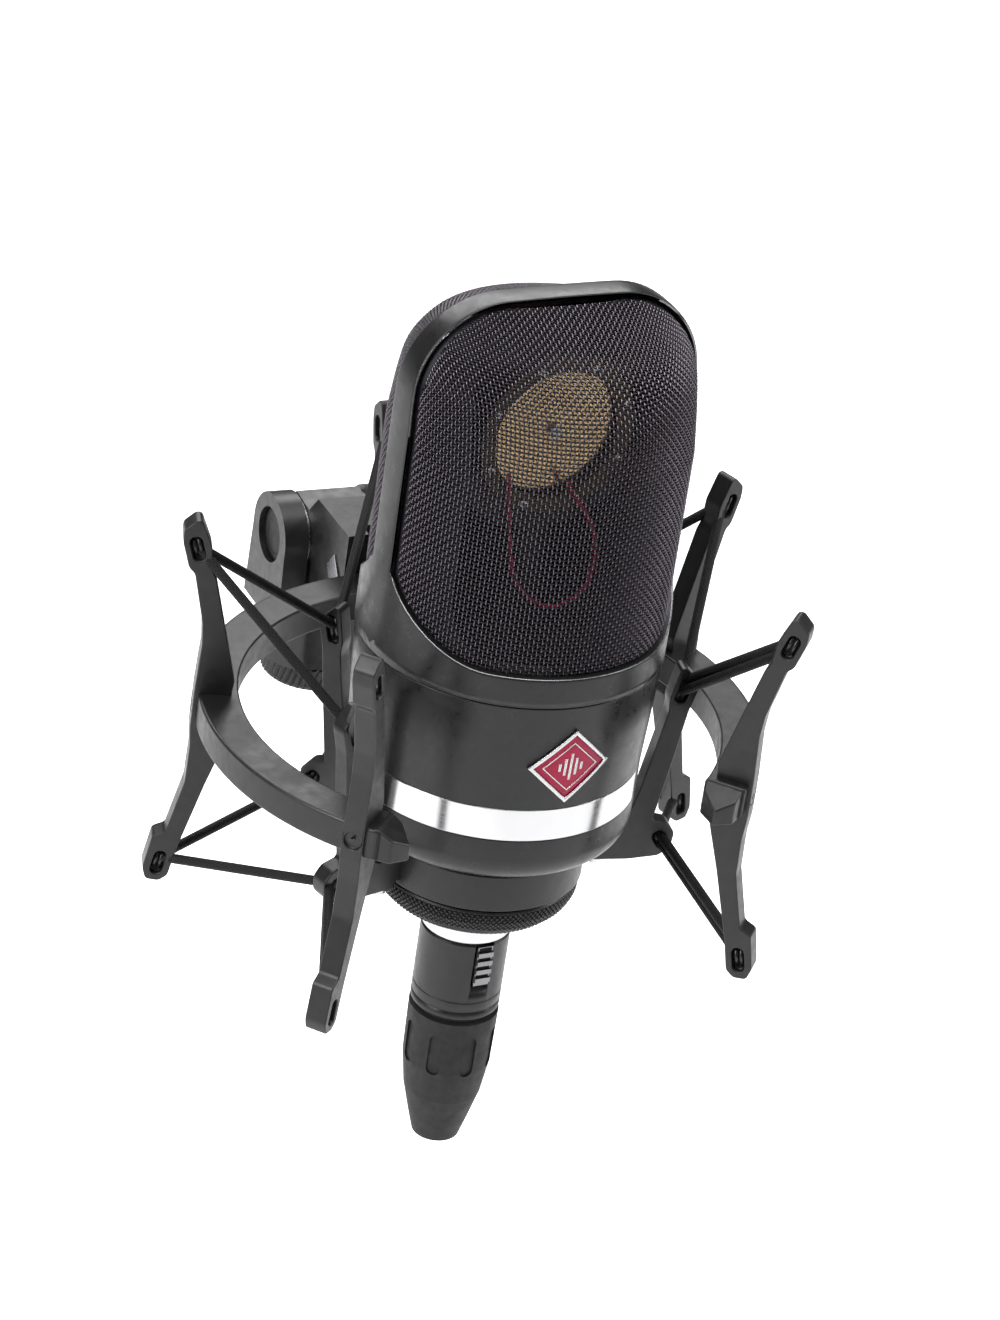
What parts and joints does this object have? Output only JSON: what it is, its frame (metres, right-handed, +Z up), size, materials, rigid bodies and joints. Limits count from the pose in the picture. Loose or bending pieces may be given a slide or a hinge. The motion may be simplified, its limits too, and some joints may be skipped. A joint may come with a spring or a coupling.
{
  "type": "condenser microphone in elastic suspension",
  "caption": "Large-diaphragm side-address condenser microphone held in a cage suspension by elastic cord, with a tilting stand swivel and a plugged-in three-pin connector.",
  "frame": {"origin": "centre of the stand thread's mouth, on the underside of the swivel fork", "axes": "+Z up along the stand, opposite to the way the stand leaves; the microphone's front faces -Y; +X to its left as it faces the singer"},
  "size_m": [0.1274, 0.145, 0.2005],
  "materials": {
    "satin_black": "satin black paint on die-cast metal",
    "ring_black": "satin black paint",
    "mesh": "dark woven wire",
    "bright_band": "polished, circumferentially brushed",
    "chrome": "bright nickel",
    "steel": "plain",
    "gold": "gold-sputtered film",
    "brass": "turned",
    "red_enamel": "glossy red enamel",
    "lead_red": "insulated wire",
    "board_green": "solder mask",
    "component_black": "moulded",
    "plastic_black": "moulded",
    "rubber_black": "soft moulded",
    "elastic_black": "braided cover over rubber core",
    "lens": "diffusing"
  },
  "bodies": {
    "stand_fork": {"swivel_fork": "ring_black", "thread_insert": "brass", "pivot_bolt": "ring_black", "friction_washers": "plastic_black"},
    "lock_ring": {"lock_ring": "ring_black"},
    "tilt_knob": {"tilt_knob": "plastic_black"},
    "suspension": {"swivel_tongue": "ring_black", "tongue_screws": "steel", "outer_ring": "ring_black", "strut_right_front": "ring_black", "strut_right": "ring_black", "strut_rear": "ring_black", "strut_left": "ring_black", "strut_left_front": "ring_black", "strut_screws": "ring_black"},
    "cage": {"cage_ring": "ring_black", "cage_arm_right_front": "ring_black", "cage_arm_right_rear": "ring_black", "cage_arm_left_rear": "ring_black", "cage_arm_left_front": "ring_black", "arm_screws": "steel", "upper_elastic": "elastic_black", "lower_elastic": "elastic_black"},
    "microphone": {"head_frame": "satin_black", "front_grille": "mesh", "rear_grille": "mesh", "capsule_body": "brass", "backplate": "brass", "front_diaphragm": "gold", "rear_diaphragm": "gold", "capsule_clamp_rings": "brass", "capsule_screws": "steel", "capsule_saddle": "plastic_black", "capsule_leads": "lead_red", "capsule_base": "plastic_black", "body_shell": "satin_black", "chrome_band": "bright_band", "bottom_cap": "satin_black", "chassis_rails": "steel", "main_board": "board_green", "board_components": "component_black", "switch_board": "board_green", "badge_frame": "chrome", "badge_enamel": "red_enamel", "nav_bezel": "chrome", "indicator_windows": "lens", "xlr_shell": "chrome", "xlr_insert": "plastic_black", "xlr_pins": "gold"},
    "nav_gimbal": {"nav_gimbal": "steel"},
    "nav_switch": {"nav_switch": "plastic_black"},
    "nut_washer": {"nut_washer": "steel"},
    "clamp_nut": {"clamp_nut": "ring_black"},
    "cable_connector": {"plug_shell": "ring_black", "plug_insert": "plastic_black", "plug_contacts": "gold", "plug_chuck": "plastic_black", "plug_boot": "rubber_black"},
    "connector_latch": {"plug_latch": "chrome"}
  },
  "joints": [
    {"name": "swivel_tilt", "type": "hinge", "parent": "stand_fork", "child": "suspension", "pos_m": [0, 0, 0.029], "axis": [0.9988, -0.0488, 0], "range_deg": [-90, 12]},
    {"name": "tilt_knob_turn", "type": "hinge", "parent": "stand_fork", "child": "tilt_knob", "pos_m": [0, 0, 0.029], "axis": [0.9988, -0.0488, 0], "range_deg": [0, 540]},
    {"name": "lock_ring_turn", "type": "hinge", "parent": "stand_fork", "child": "lock_ring", "pos_m": [0, 0, 0], "axis": [0, 0, 1], "continuous": true},
    {"name": "suspension_bounce", "type": "slide", "parent": "suspension", "child": "cage", "axis": [0, 0, 1], "range_m": [-0.004, 0.004], "stiffness_N_per_m": 1500, "springref_m": 0.004, "deforming": ["upper_elastic", "lower_elastic"]},
    {"name": "microphone_turn", "type": "hinge", "parent": "cage", "child": "microphone", "pos_m": [0, -0.085, 0.05], "axis": [0, 0, 1], "range_deg": [-180, 180]},
    {"name": "nav_up_down", "type": "hinge", "parent": "microphone", "child": "nav_gimbal", "pos_m": [0, -0.061, 0.038], "axis": [1, 0, 0], "range_deg": [-7, 7], "stiffness_Nm_per_rad": 0.02},
    {"name": "nav_left_right", "type": "hinge", "parent": "nav_gimbal", "child": "nav_switch", "pos_m": [0, -0.061, 0.038], "axis": [0, 0, 1], "range_deg": [-7, 7], "stiffness_Nm_per_rad": 0.02},
    {"name": "nut_travel", "type": "slide", "parent": "microphone", "child": "nut_washer", "axis": [0, 0, -1], "range_m": [0, 0.006]},
    {"name": "nut_turn", "type": "hinge", "parent": "nut_washer", "child": "clamp_nut", "pos_m": [0, -0.085, 0], "axis": [0, 0, -1], "range_deg": [0, 1440]},
    {"name": "connector_unplug", "type": "slide", "parent": "microphone", "child": "cable_connector", "axis": [0, 0, -1], "range_m": [0, 0.022]},
    {"name": "latch_press", "type": "slide", "parent": "cable_connector", "child": "connector_latch", "axis": [0, 1, 0], "range_m": [0, 0.0009], "stiffness_N_per_m": 800}
  ],
  "couplings": [
    {"joint": "nut_travel", "follows": "nut_turn", "m_per_rad": 0.00023873}
  ]
}
